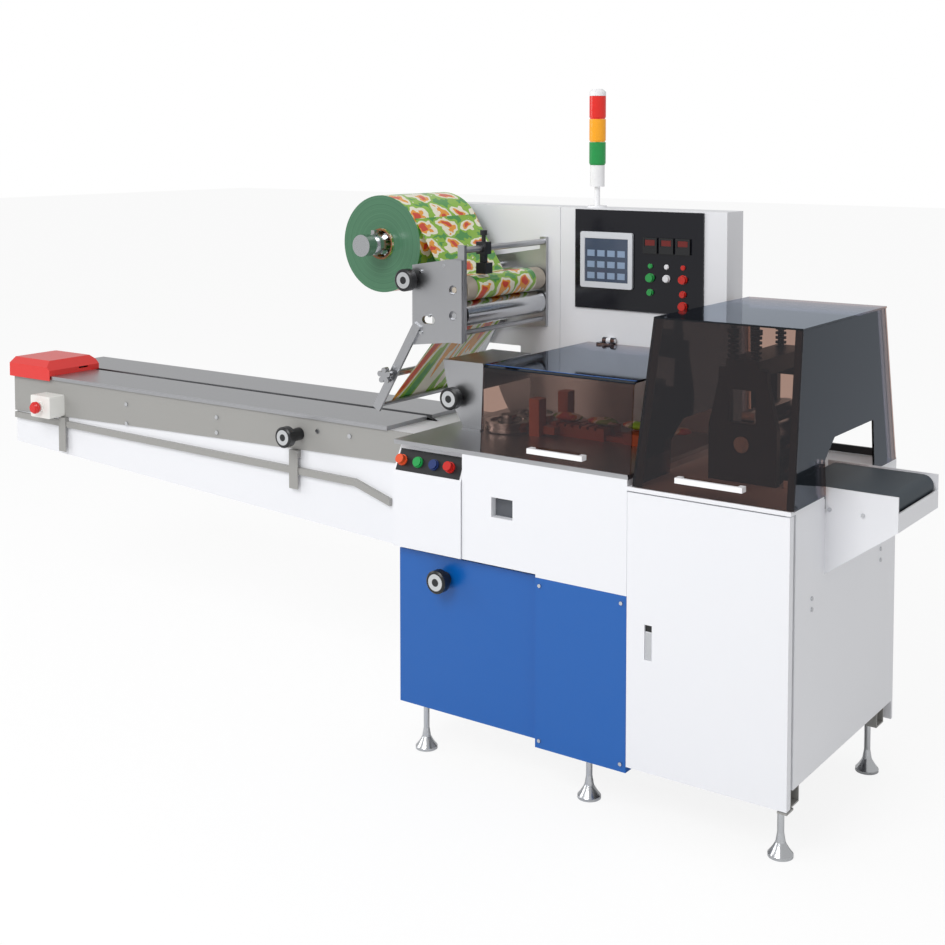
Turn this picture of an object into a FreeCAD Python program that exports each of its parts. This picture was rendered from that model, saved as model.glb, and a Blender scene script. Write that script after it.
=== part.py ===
# Horizontal flow wrapper (packaging line machine).
# Lengths are in millimetres. X runs with the product, from the infeed tail to the discharge.
# Y runs from the operator side to the back, Z runs up from the floor.
# The machine is laid out from one datum: x = 0 at the right face of the end cabinet,
# y = 0 at the face of the cabinet door, z = 0 at the floor. The export moves the datum so
# that the origin is at the middle of the footprint of the whole machine.
import FreeCAD
import Part
import math
import os

V = FreeCAD.Vector

# ---- driving dimensions: body ------------------------------------------------------
foot_height = 130.0          # floor to the underside of the cabinets
body_depth = 690.0           # door face to back face
cabinet_width = 420.0        # end cabinet along X
cabinet_top = 830.0          # worktop of the end cabinet
mid_length = 720.0           # middle body along X
deck_top = 857.0             # deck of the middle body
deck_thick = 12.0
white_bottom = 567.0         # lower edge of the white front panels
sheet = 10.0                 # cabinet walls with their folded edges
door_thick = 22.0
door_skin = 3.0
door_gap = 3.0               # gap round the cabinet door
wall_setback = 30.0          # the cabinet walls start behind the door
panel_split = 265.0          # width of the right lower panel
panel_recess = 24.0          # the left lower panel stands back by this
finger_gap = 12.0            # slot above the left lower panel
rail_size = 50.0
rail_inset = 40.0            # rail face behind the front face, and before the back face
foot_pad_r = 30.0
foot_stem_r = 8.0
foot_end_inset = 43.0        # first and last foot from the ends of the body
seat = 0.3                   # seating clearance between separate pieces
run_fit = 0.05               # radial clearance of a running fit

# ---- product line -------------------------------------------------------------------
line_y = 345.0               # centre line of the product path
infeed_length = 1815.0       # infeed beyond the middle body
infeed_width = 390.0
infeed_top = 852.0
infeed_deck_thick = 12.0
infeed_end_gap = 138.0       # the infeed deck stops short of the middle body by this
band_tail_depth = 126.0      # side plate below the deck at the tail
band_head_depth = 88.0       # the same beside the middle body
trough_tail_z = 604.0        # underside of the trough at the tail
trough_head_z = 508.0        # underside of the trough beside the middle body
side_plate = 5.0
chain_slot = 24.0
chain_width = 14.0
chain_thick = 12.0
chain_loop = 150.0           # height of the chain loop over both strands
chain_drop = 4.0             # top of the chain below the deck

# ---- film unit ----------------------------------------------------------------------
wall_y = 560.0               # front face of the electrical box
box_depth = 100.0
box_top = 1467.0
box_right = -430.0
box_seam = -961.0
wall_left = -1430.0
wall_bottom = 1048.0         # underside of the film wall beyond the body
roll_x = -1336.0
roll_z = 1365.0
roll_r = 139.0
roll_width = 300.0
core_r = 44.0
core_bore_r = 39.0
shaft_r = 15.0
stand_left = -1181.0
stand_right = -1003.0
stand_bottom = 1094.0
stand_top_left = 1317.0
stand_top_right = 1346.0
stand_plate = 12.0
roller_x = -1034.0
guide_roller_z = 1256.0
guide_roller_r = 33.0
drive_roller_z = 1186.0
drive_roller_r = 34.0
journal_r = 8.0
film_thick = 0.4             # film drawn thicker than it is
sensor_bar_z = 1364.0
sensor_bar_r = 9.0

# ---- covers -------------------------------------------------------------------------
pane = 5.0                   # smoked acrylic sheet
mid_cover_left = -857.0
mid_cover_right = -415.0
mid_cover_top = 1082.0
mid_cover_lean = 14.0        # the front leans back by this over its height
end_cover_left = -406.0
end_cover_right = 8.0
end_cover_top = 1236.0
end_cover_lean = 76.0        # lean of the front over its height
end_cover_side_lean = 15.0
end_cover_back_lean = 52.0
hinge_pin_r = 5.0
exit_height = 128.0          # product exit in the end cover's right side
exit_width = 320.0
frame_bar = 6.0              # flat bar behind the acrylic

# ---- end seal -----------------------------------------------------------------------
jaw_x = -210.0
jaw_r = 74.5
jaw_gap = 1.0
jaw_shaft_r = 20.0
jaw_length = 240.0
seal_line_z = 850.0
head_plate = 20.0
head_width = 180.0
head_top = 1110.0
discharge_reach = 175.0
discharge_width = 286.0
belt_top = 845.0
belt_thick = 4.0
belt_roller_r = 22.0

# ---- controls -----------------------------------------------------------------------
console_width = 224.0
console_slope_z = 769.0
console_slope_rise = 62.0
console_slope_run = 31.0
button_r = 12.5
panel_left = -907.0
panel_width = 409.0
panel_top = 1463.0
panel_height = 284.0
panel_thick = 6.0
knob_r = 31.0
knob_thick = 22.0
tower_x = -867.0
tower_r = 24.0
lens_height = 66.0

# ---- worked out from them -------------------------------------------------------------
body_left = -(cabinet_width + mid_length)
mid_right = -cabinet_width
infeed_left = body_left - infeed_length
infeed_front = line_y - infeed_width / 2
infeed_back = line_y + infeed_width / 2
infeed_deck_end = body_left - infeed_end_gap
trough_top = infeed_top - infeed_deck_thick
stand_front = line_y - infeed_width / 2 - stand_plate
stand_back = wall_y - stand_plate
jaw_upper_z = seal_line_z + jaw_r + jaw_gap / 2
jaw_lower_z = seal_line_z - jaw_r - jaw_gap / 2
discharge_front = line_y - discharge_width / 2
discharge_back = line_y + discharge_width / 2
rail_front_y = rail_inset + rail_size / 2
rail_back_y = body_depth - rail_inset - rail_size / 2
door_hinge = V(-12.0, door_thick / 2, 0)
mid_hinge_y = wall_y - 10.0
mid_hinge_z = mid_cover_top + 8.0
end_hinge_y = body_depth - 10.0
end_hinge_z = cabinet_top + 10.0


def box(x0, x1, y0, y1, z0, z1):
    return Part.makeBox(x1 - x0, y1 - y0, z1 - z0, V(x0, y0, z0))


def rod(start, end, r):
    axis = end - start
    return Part.makeCylinder(r, axis.Length, start, axis)


def cone(start, end, r0, r1):
    axis = end - start
    return Part.makeCone(r0, r1, axis.Length, start, axis)


def prism(points, direction):
    """Extrudes a closed outline of 3-D points along a direction."""
    wire = Part.makePolygon([V(*p) for p in points] + [V(*points[0])])
    return Part.Face(wire).extrude(V(*direction))


def xz_prism(outline, y0, y1):
    return prism([(x, y0, z) for x, z in outline], (0, y1 - y0, 0))


def yz_prism(outline, x0, x1):
    return prism([(x0, y, z) for y, z in outline], (x1 - x0, 0, 0))


def join(*shapes):
    first, *rest = shapes
    return first.fuse(list(rest)).removeSplitter()


def group(*shapes):
    return Part.makeCompound(list(shapes))


def tube(start, end, r_out, r_in):
    return rod(start, end, r_out).cut(rod(start, end, r_in))


def stadium(x0, x1, z0, z1, y0, y1):
    """A bar along X with half-round ends."""
    r = (z1 - z0) / 2
    zc = (z0 + z1) / 2
    middle = box(x0 + r, x1 - r, y0, y1, z0, z1)
    left = rod(V(x0 + r, y0, zc), V(x0 + r, y1, zc), r)
    right = rod(V(x1 - r, y0, zc), V(x1 - r, y1, zc), r)
    return join(middle, left, right)


# ---- floor frame --------------------------------------------------------------------
def base_rails():
    rails = []
    for y in (rail_front_y, rail_back_y):
        half = rail_size / 2
        outer = box(body_left + sheet, -sheet, y - half, y + half, foot_height, foot_height + rail_size)
        bore = box(body_left + sheet, -sheet, y - half + 4, y + half - 4,
                   foot_height + 4, foot_height + rail_size - 4)
        rails.append(outer.cut(bore))
    lug = box(door_hinge.x - 14, door_hinge.x + 10, 2, rail_inset, foot_height, foot_height + 5)
    pin = rod(V(door_hinge.x, door_hinge.y, foot_height + 5),
              V(door_hinge.x, door_hinge.y, foot_height + 25), 4)
    rails[0] = join(rails[0], lug, pin)
    return group(*rails)


def levelling_feet():
    feet = []
    first = body_left + foot_end_inset + 19
    last = -foot_end_inset
    for x in (first, (first + last) / 2, last):
        for y in (rail_front_y, rail_back_y):
            profile = [V(0, 0, 0), V(foot_pad_r, 0, 0), V(foot_pad_r, 0, 7)]
            dome = Part.Arc(V(foot_pad_r, 0, 7), V(foot_pad_r * 0.62, 0, 22), V(12, 0, 34)).toShape()
            edges = [Part.makeLine(profile[0], profile[1]), Part.makeLine(profile[1], profile[2]), dome,
                     Part.makeLine(V(12, 0, 34), V(foot_stem_r, 0, 58)),
                     Part.makeLine(V(foot_stem_r, 0, 58), V(foot_stem_r, 0, foot_height)),
                     Part.makeLine(V(foot_stem_r, 0, foot_height), V(0, 0, foot_height)),
                     Part.makeLine(V(0, 0, foot_height), V(0, 0, 0))]
            foot = Part.Face(Part.Wire(edges)).revolve(V(0, 0, 0), V(0, 0, 1), 360)
            foot.translate(V(x, y, 0))
            feet.append(foot)
    return group(*feet)


# ---- middle body ----------------------------------------------------------------------
panel_front = 4.0            # face of the front panels behind the door face
housing_front = 38.0


def mid_housing():
    low = foot_height + rail_size
    body = box(body_left, mid_right, housing_front, body_depth, low, deck_top - deck_thick)
    back_skirt = box(body_left, mid_right, body_depth - 4, body_depth, foot_height, low)
    side_skirt = box(body_left, body_left + 4, housing_front, body_depth, foot_height, low)
    pocket = box(body_left + 4, mid_right - panel_split, housing_front, housing_front + 60,
                 white_bottom - finger_gap, white_bottom + 8)
    knob_hole = rod(V(main_knob_x, housing_front, main_knob_z), V(main_knob_x, 120, main_knob_z),
                    journal_r + run_fit)
    return join(body, back_skirt, side_skirt).cut(group(pocket, knob_hole))


def mid_deck():
    deck = box(body_left, mid_right, panel_front, body_depth, deck_top - deck_thick, deck_top)
    bores = [rod(V(fin_x, y, 0), V(fin_x, y, deck_top + 1), fin_journal_r + run_fit) for y in fin_centres]
    lip = box(body_left, mid_right, panel_front - 2, panel_front, deck_top - 4, deck_top)
    return join(deck, lip).cut(group(*bores))


def pan(x0, x1, y0, y1, z0, z1, skin):
    """A sheet panel with folded edges, open at the back."""
    outer = box(x0, x1, y0, y1, z0, z1)
    return outer.cut(box(x0 + skin, x1 - skin, y0 + skin, y1, z0 + skin, z1 - skin))


main_knob_x = -984.0
main_knob_z = 497.0


def left_lower_panel():
    face = panel_front + panel_recess
    panel = pan(body_left, mid_right - panel_split, face, housing_front,
                foot_height, white_bottom - finger_gap, 3)
    boss = tube(V(main_knob_x, face, main_knob_z), V(main_knob_x, housing_front, main_knob_z), 22, journal_r + 1)
    hole = rod(V(main_knob_x, 0, main_knob_z), V(main_knob_x, housing_front, main_knob_z), journal_r + 1)
    return join(panel, boss).cut(hole)


def right_lower_panel():
    return pan(mid_right - panel_split, mid_right - 2, panel_front, housing_front,
               foot_height - 10, white_bottom - finger_gap + 4, 3)


cup_pull_x = -788.0
cup_pull_z = 719.0
cup_pull_w = 66.0
cup_pull_h = 52.0


def front_service_panel():
    left = body_left + console_width + 2
    right = mid_right - 2
    split = mid_right - panel_split
    top = deck_top - deck_thick
    panel = pan(left, right, panel_front, housing_front, white_bottom, top, 3)
    step = pan(split, right, panel_front, housing_front, white_bottom - finger_gap + 4 + seat, white_bottom + 3, 3)
    cup = box(cup_pull_x - cup_pull_w / 2 - 3, cup_pull_x + cup_pull_w / 2 + 3, panel_front, panel_front + 24,
              cup_pull_z - cup_pull_h / 2 - 3, cup_pull_z + cup_pull_h / 2 + 3)
    hollow = box(cup_pull_x - cup_pull_w / 2, cup_pull_x + cup_pull_w / 2, panel_front - 1, panel_front + 21,
                 cup_pull_z - cup_pull_h / 2, cup_pull_z + cup_pull_h / 2)
    opening = box(split + 3, right - 3, panel_front + 3, housing_front, white_bottom - 1, white_bottom + 4)
    return join(panel, step, cup).cut(group(hollow, opening))


def operator_console():
    left = body_left
    right = body_left + console_width
    z0 = white_bottom
    z1 = console_slope_z
    z2 = console_slope_z + console_slope_rise
    y1 = console_slope_run
    top = deck_top - deck_thick - seat
    outline = [(0, z0), (0, z1), (y1, z2), (housing_front - 1, top), (housing_front, top), (housing_front, z0)]
    shell = yz_prism(outline, left, right)
    inner = [(3, z0 + 3), (3, z1 - 1), (y1 + 2, z2 - 3), (housing_front, z2 - 1), (housing_front, z0 + 3)]
    hollow = yz_prism(inner, left + 3, right - 3)
    return shell.cut(hollow)


def console_buttons():
    """Four push buttons standing square to the sloping face."""
    slope = V(0, console_slope_run, console_slope_rise).normalize()
    out = V(0, -slope.z, slope.y)
    middle = V(0, console_slope_run / 2, console_slope_z + console_slope_rise / 2)
    buttons = []
    for step in range(4):
        x = body_left + 22 + step * 53
        base = V(x, middle.y, middle.z)
        collar = rod(base + out * 0, base + out * 6, button_r + 2.5)
        height = 20 if step in (0, 3) else 12
        cap = rod(base + out * 6, base + out * height, button_r)
        buttons.append(join(collar, cap))
    return group(*buttons)


# ---- end cabinet -------------------------------------------------------------------------
def end_cabinet_sides():
    right = box(-sheet, 0, wall_setback, body_depth - sheet, foot_height + rail_size, cabinet_top - sheet)
    notch = box(-sheet - 1, 1, discharge_front - 2, discharge_back + 2, belt_top - 58, cabinet_top)
    left = box(mid_right, mid_right + sheet, wall_setback, body_depth - sheet,
               foot_height + rail_size, cabinet_top - sheet)
    return group(left, right.cut(notch))


def end_cabinet_back():
    return box(mid_right, 0, body_depth - sheet, body_depth, foot_height, cabinet_top - sheet)


def end_cabinet_top():
    plate = box(mid_right, 0, 0, body_depth, cabinet_top - sheet, cabinet_top)
    gap = jaw_gap + 6
    well = box(jaw_x - jaw_r - gap, jaw_x + jaw_r + gap, line_y - jaw_length / 2 - 12,
               line_y + jaw_length / 2 + 12, cabinet_top - sheet - 1, cabinet_top + 1)
    slots = [box(jaw_x - head_width / 2, jaw_x + head_width / 2, y, y + head_plate,
                 cabinet_top - sheet - 1, cabinet_top + 1) for y in head_plate_y]
    belt_well = box(belt_start - 6, 1, discharge_front - 6, discharge_back + 6,
                    cabinet_top - sheet - 1, cabinet_top + 1)
    pin = rod(V(door_hinge.x, door_hinge.y, cabinet_top - sheet),
              V(door_hinge.x, door_hinge.y, cabinet_top - sheet - 22), 4)
    ears = []
    for x0, x1 in ((end_cover_left + 20, end_cover_left + 34), (end_cover_right - 50, end_cover_right - 36)):
        foot = box(x0, x1, end_hinge_y - 12, end_hinge_y + 10, cabinet_top, end_hinge_z)
        head = rod(V(x0, end_hinge_y, end_hinge_z), V(x1, end_hinge_y, end_hinge_z), 8)
        pin_end = rod(V(x0 - 14, end_hinge_y, end_hinge_z), V(x1 + 14, end_hinge_y, end_hinge_z), hinge_pin_r)
        ears.append(join(foot.common(box(x0, x1, end_hinge_y - 8, end_hinge_y + 8, 0, end_hinge_z)), head, pin_end))
    top = plate.cut(group(well, belt_well, *slots))
    return join(top, pin, *ears)


def cabinet_door():
    x0 = mid_right + 1
    x1 = -2.0
    z0 = foot_height + 8
    z1 = cabinet_top - sheet - door_gap
    door = pan(x0, x1, 0, door_thick, z0, z1, door_skin)
    block = box(door_hinge.x - 9, x1, 0, door_thick, z0, z0 + 40)
    block_top = box(door_hinge.x - 9, x1, 0, door_thick, z1 - 40, z1)
    lock_body = box(lock_x - 16, lock_x + 16, 0, door_thick - 3, lock_z - 52, lock_z + 52)
    door = join(door, block, block_top, lock_body)
    pins = rod(V(door_hinge.x, door_hinge.y, z0 - 1), V(door_hinge.x, door_hinge.y, z0 + 24), 4.3)
    pins_top = rod(V(door_hinge.x, door_hinge.y, z1 - 24), V(door_hinge.x, door_hinge.y, z1 + 1), 4.3)
    pocket = box(lock_x - 10, lock_x + 10, -1, 5, lock_z - 43, lock_z + 43)
    lever = box(lock_x - 8, lock_x + 8, 1.5, 5, lock_z - 41, lock_z + 25)
    return join(door.cut(group(pins, pins_top, pocket)), lever)


lock_x = -360.0
lock_z = 458.0


# ---- infeed ------------------------------------------------------------------------------
band_tail_z = infeed_top - band_tail_depth - infeed_deck_thick
band_head_z = infeed_top - band_head_depth - infeed_deck_thick


def infeed_trough():
    y0 = infeed_front + side_plate
    y1 = infeed_back - side_plate
    outline = [(infeed_left + 4, trough_top), (body_left - seat, trough_top),
               (body_left - seat, trough_head_z), (infeed_left + 4, trough_tail_z)]
    body = xz_prism(outline, y0, y1)
    chain_top = infeed_top - chain_drop
    half = chain_slot / 2
    channel = stadium(infeed_left + 56, chain_end + 8, chain_top - chain_loop - 8, chain_top + 8,
                      line_y - half, line_y + half)
    core = stadium(infeed_left + 64 + chain_thick + seat, chain_end - chain_thick - seat,
                   chain_top - chain_loop + chain_thick + seat, chain_top - chain_thick - seat,
                   line_y - half - 1, line_y + half + 1)
    knob_bore = rod(V(infeed_knob_x, y0, infeed_knob_z), V(infeed_knob_x, y0 + 60, infeed_knob_z),
                    journal_r + run_fit)
    return body.cut(channel.cut(core)).cut(knob_bore)


chain_end = infeed_deck_end + 60
infeed_knob_x = -1615.0
infeed_knob_z = 790.0


def infeed_chain():
    top = infeed_top - chain_drop
    half = chain_width / 2
    outer = stadium(infeed_left + 64, chain_end, top - chain_loop, top, line_y - half, line_y + half)
    inner = stadium(infeed_left + 64 + chain_thick, chain_end - chain_thick,
                    top - chain_loop + chain_thick, top - chain_thick, line_y - half - 1, line_y + half + 1)
    return outer.cut(inner)


def infeed_side_plates():
    outline = [(infeed_left, trough_top), (body_left - seat, trough_top),
               (body_left - seat, band_head_z), (infeed_left, band_tail_z)]
    front = xz_prism(outline, infeed_front, infeed_front + side_plate)
    hole = rod(V(infeed_knob_x, infeed_front - 1, infeed_knob_z),
               V(infeed_knob_x, infeed_front + side_plate + 1, infeed_knob_z), journal_r + run_fit)
    back = xz_prism(outline, infeed_back - side_plate, infeed_back)
    return group(front.cut(hole), back)


def infeed_deck():
    half = chain_slot / 2
    front = box(infeed_left, infeed_deck_end, infeed_front - 6, line_y - half, trough_top, infeed_top)
    back = box(infeed_left, infeed_deck_end, line_y + half, infeed_back + 6, trough_top, infeed_top)
    tail = box(infeed_left, infeed_left + 50, line_y - half, line_y + half, trough_top, infeed_top)
    return join(front, back, tail)


def trough_bottom(x):
    """Height of the trough's underside at a place along the infeed."""
    share = (x - infeed_left) / infeed_length
    return trough_tail_z + (trough_head_z - trough_tail_z) * share


rail_tail_z = 700.0
rail_bend_x = -1399.0
rail_bend_z = 674.0
rail_end_x = -1268.0
rail_end_z = 634.0
rail_high = 20.0
rail_deep = 12.0
bracket_places = (-2690.0, -1632.0)
bracket_width = 34.0


def infeed_rail():
    """The cable rail along the trough, with its two flat hangers."""
    y1 = infeed_front + side_plate
    y0 = y1 - rail_deep
    h = rail_high / 2
    outline = [(infeed_left + 8, rail_tail_z + h), (rail_bend_x, rail_bend_z + h), (rail_end_x, rail_end_z + h),
               (rail_end_x, rail_end_z - h), (rail_bend_x, rail_bend_z - h), (infeed_left + 8, rail_tail_z - h)]
    rail = xz_prism(outline, y0, y1)
    top_share = [band_tail_z + (band_head_z - band_tail_z) * (x - infeed_left) / infeed_length
                 for x in bracket_places]
    hangers = [box(x - bracket_width / 2, x + bracket_width / 2, y0 - 4, y0, z_top - 118, z_top - 2)
               for x, z_top in zip(bracket_places, top_share)]
    pads = [box(x - bracket_width / 2, x + bracket_width / 2, y0, y1, z_top - 24, z_top - 2)
            for x, z_top in zip(bracket_places, top_share)]
    return join(rail, *hangers, *pads)


tail_length = 204.0
tail_top = 900.0
tail_chamfer = 26.0


def tail_cover():
    """The red guard over the tail end of the chain."""
    x0 = infeed_left - 10
    x1 = infeed_left + tail_length
    y0 = infeed_front - 12
    y1 = line_y + 8
    z0 = infeed_top
    c = tail_chamfer
    outline = [(y0, z0 - 16), (y0, tail_top - c * 0.7), (y0 + c, tail_top), (y1 - c * 0.6, tail_top), (y1, tail_top - c * 0.6),
               (y1, z0), (y1 - 3, z0), (y1 - 3, tail_top - c), (y1 - c, tail_top - 3),
               (y0 + c + 2, tail_top - 3), (y0 + 3, tail_top - c), (y0 + 3, z0 - 16)]
    skin = yz_prism(outline, x0, x1)
    inner = [(y0 + 3, z0), (y0 + 3, tail_top - c), (y0 + c + 2, tail_top - 3), (y1 - c, tail_top - 3),
             (y1 - 3, tail_top - c), (y1 - 3, z0)]
    end = yz_prism(inner, x1 - 3, x1)
    tail_end = yz_prism(inner, x0, x0 + 3)
    window = box(x1 - 4, x1 + 1, line_y - 80, line_y - 40, z0 + 12, z0 + 26)
    shell = join(skin, end, tail_end).cut(window)
    nose_low = xz_prism([(x1 + 1, tail_top + 1), (x1 - 34, tail_top + 1), (x1 + 1, z0 + 18)], y0 - 1, y1 + 1)
    slope = xz_prism([(x1 - 31, tail_top), (x1 - 34, tail_top), (x1 - 3, z0 + 20), (x1, z0 + 18)], y0 + 1, y1 - 1)
    return join(shell.cut(nose_low), slope.common(yz_prism(outline[:6], x0, x1)))


stop_x = -2738.0
stop_z = 757.0
stop_w = 100.0
stop_h = 74.0
stop_d = 62.0


def stop_box():
    back = infeed_front
    body = box(stop_x - stop_w / 2, stop_x + stop_w / 2, back - stop_d, back, stop_z - stop_h / 2, stop_z + stop_h / 2)
    edges = [e for e in body.Edges if abs(e.tangentAt(e.FirstParameter).y) > 0.9]
    body = body.makeFillet(6, edges)
    collar = rod(V(stop_x, back - stop_d - 8, stop_z), V(stop_x, back - stop_d, stop_z), 17)
    bore = rod(V(stop_x, back - stop_d - 10, stop_z), V(stop_x, back - stop_d + 24, stop_z), 9 + run_fit)
    return join(body, collar).cut(bore)


def stop_button():
    y = infeed_front - stop_d
    stem = rod(V(stop_x, y - 14, stop_z), V(stop_x, y + 12, stop_z), 9)
    cap = rod(V(stop_x, y - 26, stop_z), V(stop_x, y - 16, stop_z), 20)
    dome = cone(V(stop_x, y - 26, stop_z), V(stop_x, y - 33, stop_z), 20, 14)
    under = cone(V(stop_x, y - 16, stop_z), V(stop_x, y - 14, stop_z), 20, 17)
    return join(stem, cap, dome, under)


# ---- electrical box and film wall ----------------------------------------------------------
def electrical_box():
    back = wall_y + box_depth
    cabinet = box(box_seam, box_right, wall_y, back, deck_top, box_top)
    wall = box(wall_left, box_seam, wall_y, back, wall_bottom, box_top)
    foot = box(body_left + 40, box_seam, wall_y, back, deck_top, wall_bottom)
    seam = box(box_seam - 1.5, box_seam + 1.5, wall_y - 1, wall_y + 3, wall_bottom, box_top + 1)
    body = join(cabinet, wall, foot).cut(seam)
    hinges = []
    for x in (mid_cover_left + 60, mid_cover_right - 80):
        arm = box(x, x + 14, mid_hinge_y, wall_y, mid_hinge_z - 8, mid_hinge_z + 8)
        eye = rod(V(x, mid_hinge_y, mid_hinge_z), V(x + 14, mid_hinge_y, mid_hinge_z), 8)
        pin = rod(V(x - 14, mid_hinge_y, mid_hinge_z), V(x + 28, mid_hinge_y, mid_hinge_z), hinge_pin_r)
        hinges.append(join(arm, eye, pin))
    return join(body, *hinges)


def control_panel():
    return box(panel_left, panel_left + panel_width, wall_y - panel_thick, wall_y, panel_top - panel_height, panel_top)


screen_left = -885.0
screen_width = 170.0
screen_top = 1400.0
screen_height = 160.0


def touch_screen():
    y = wall_y - panel_thick
    outer = box(screen_left, screen_left + screen_width, y - 8, y, screen_top - screen_height, screen_top)
    edges = [e for e in outer.Edges if abs(e.tangentAt(e.FirstParameter).y) > 0.9]
    outer = outer.makeFillet(6, edges)
    face = box(screen_left + 14, screen_left + screen_width - 14, y - 9, y - 6,
               screen_top - screen_height + 16, screen_top - 18)
    return outer.cut(face)


controller_size = 44.0
controller_pitch = 51.0
controller_x = -660.0
controller_z = 1368.0


def temperature_controllers():
    y = wall_y - panel_thick
    half = controller_size / 2
    units = []
    for step in range(3):
        x = controller_x + step * controller_pitch
        unit = box(x - half, x + half, y - 7, y, controller_z - half, controller_z + half)
        window = box(x - half + 5, x + half - 5, y - 8, y - 5.5, controller_z - 4, controller_z + half - 5)
        units.append(unit.cut(window))
    return group(*units)


def panel_buttons():
    y = wall_y - panel_thick
    left = controller_x
    mid = controller_x + controller_pitch
    right = controller_x + 2 * controller_pitch
    spots = [(left, 1310, 5, 6), (mid, 1310, 5, 6), (right, 1310, 5, 6),
             (left, 1277, 11, 12), (mid, 1277, 9, 10), (right, 1277, 11, 12),
             (left, 1236, 8, 10), (right, 1236, 8, 10), (right, 1203, 11, 12)]
    made = []
    for x, z, r, high in spots:
        collar = rod(V(x, y, z), V(x, y - 4, z), r + 2)
        cap = rod(V(x, y - 4, z), V(x, y - high, z), r)
        made.append(join(collar, cap))
    return group(*made)


tower_base_z = box_top + 60
lens_bottom = tower_base_z + 62


def signal_tower():
    y = wall_y + box_depth / 2
    x = tower_x
    flange = rod(V(x, y, box_top), V(x, y, box_top + 5), 28)
    pole = rod(V(x, y, box_top + 5), V(x, y, tower_base_z), 8)
    base = rod(V(x, y, tower_base_z), V(x, y, lens_bottom), tower_r - 3)
    spine = rod(V(x, y, lens_bottom), V(x, y, lens_bottom + 3 * lens_height + 2), 6)
    top = lens_bottom + 3 * lens_height + 2
    cap = join(rod(V(x, y, top), V(x, y, top + 12), tower_r), cone(V(x, y, top + 12), V(x, y, top + 20), tower_r, 14))
    return join(flange, pole, base, spine, cap)


def tower_lenses():
    y = wall_y + box_depth / 2
    lenses = []
    for step in range(3):
        z0 = lens_bottom + 0.5 + step * (lens_height + 0.5)
        lens = tube(V(tower_x, y, z0), V(tower_x, y, z0 + lens_height), tower_r, 6 + seat)
        groove = tube(V(tower_x, y, z0), V(tower_x, y, z0 + 4), tower_r + 1, tower_r - 2)
        lenses.append(lens.cut(groove))
    return group(*lenses)


# ---- film roll and film stand ----------------------------------------------------------------
roll_front = line_y - roll_width / 2
roll_back = line_y + roll_width / 2
chuck_front = roll_front - 92
stand_knob_x = -1180.0
stand_knob_z = 1277.0


def roll_shaft():
    flange = rod(V(roll_x, wall_y, roll_z), V(roll_x, wall_y - 14, roll_z), 46)
    shaft = rod(V(roll_x, wall_y - 14, roll_z), V(roll_x, chuck_front + 24, roll_z), shaft_r)
    collar = rod(V(roll_x, wall_y - 14, roll_z), V(roll_x, roll_back + 18, roll_z), 24)
    return join(flange, shaft, collar)


def film_roll():
    y0, y1 = V(roll_x, roll_front, roll_z), V(roll_x, roll_back, roll_z)
    film = tube(y0, y1, roll_r, core_r)
    core = tube(V(roll_x, roll_front - 6, roll_z), V(roll_x, roll_back + 6, roll_z), core_r, core_bore_r)
    return join(film, core)


def roll_chuck():
    """Expanding chuck with four ribs, a front hub and a turned cap."""
    hub = rod(V(roll_x, roll_front - 40, roll_z), V(roll_x, roll_back + 10, roll_z), 30)
    ribs = []
    rib_top = math.sqrt((core_bore_r - seat) ** 2 - 8 ** 2)
    for turn in range(4):
        rib = box(roll_x - 8, roll_x + 8, roll_front - 12, roll_back - 8, roll_z, roll_z + rib_top)
        rib.rotate(V(roll_x, 0, roll_z), V(0, 1, 0), 45 + turn * 90)
        ribs.append(rib)
    neck = rod(V(roll_x, chuck_front + 34, roll_z), V(roll_x, roll_front - 40, roll_z), 24)
    cap = rod(V(roll_x, chuck_front, roll_z), V(roll_x, chuck_front + 34, roll_z), 31)
    spokes = [box(roll_x - 6, roll_x + 6, roll_front - 40, roll_front - 20, roll_z + 20, roll_z + 41)
              for turn in range(3)]
    for turn, spoke in enumerate(spokes):
        spoke.rotate(V(roll_x, 0, roll_z), V(0, 1, 0), 120 * turn)
    bore = rod(V(roll_x, chuck_front + 20, roll_z), V(roll_x, roll_back + 11, roll_z), shaft_r + run_fit)
    return join(hub, neck, cap, *ribs, *spokes).cut(bore)


def film_stand_plates():
    outline = [(stand_left, stand_bottom), (stand_right, stand_bottom + 22), (stand_right, stand_top_right),
               (stand_left, stand_top_left)]
    plates = []
    for y0, y1 in ((stand_front, stand_front + stand_plate), (stand_back, wall_y)):
        plate = xz_prism(outline, y0, y1)
        ear = rod(V(stand_knob_x, y0, stand_knob_z), V(stand_knob_x, y1, stand_knob_z), 24)
        bores = [rod(V(roller_x, y0 - 1, z), V(roller_x, y1 + 1, z), journal_r + run_fit)
                 for z in (guide_roller_z, drive_roller_z)]
        bores.append(rod(V(stand_knob_x, y0 - 1, stand_knob_z), V(stand_knob_x, y1 + 1, stand_knob_z),
                         journal_r + run_fit))
        slot = stadium(stand_left + 34, stand_left + 78, stand_bottom + 62, stand_bottom + 84, y0 - 1, y1 + 1)
        post = box(stand_right - 22, stand_right, y0, y1, stand_top_right - 10, sensor_bar_z + 14)
        plates.append(join(plate, ear, post).cut(group(slot, *bores)))
    bar = box(stand_right - 58, stand_right - 2, stand_front - 10, stand_front, stand_bottom + 18, stand_top_right - 8)
    bar_bores = [rod(V(roller_x, stand_front - 11, z), V(roller_x, stand_front + 1, z), 13)
                 for z in (guide_roller_z, drive_roller_z)]
    plates[0] = join(plates[0], bar.cut(group(*bar_bores)))
    return group(*plates)


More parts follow.
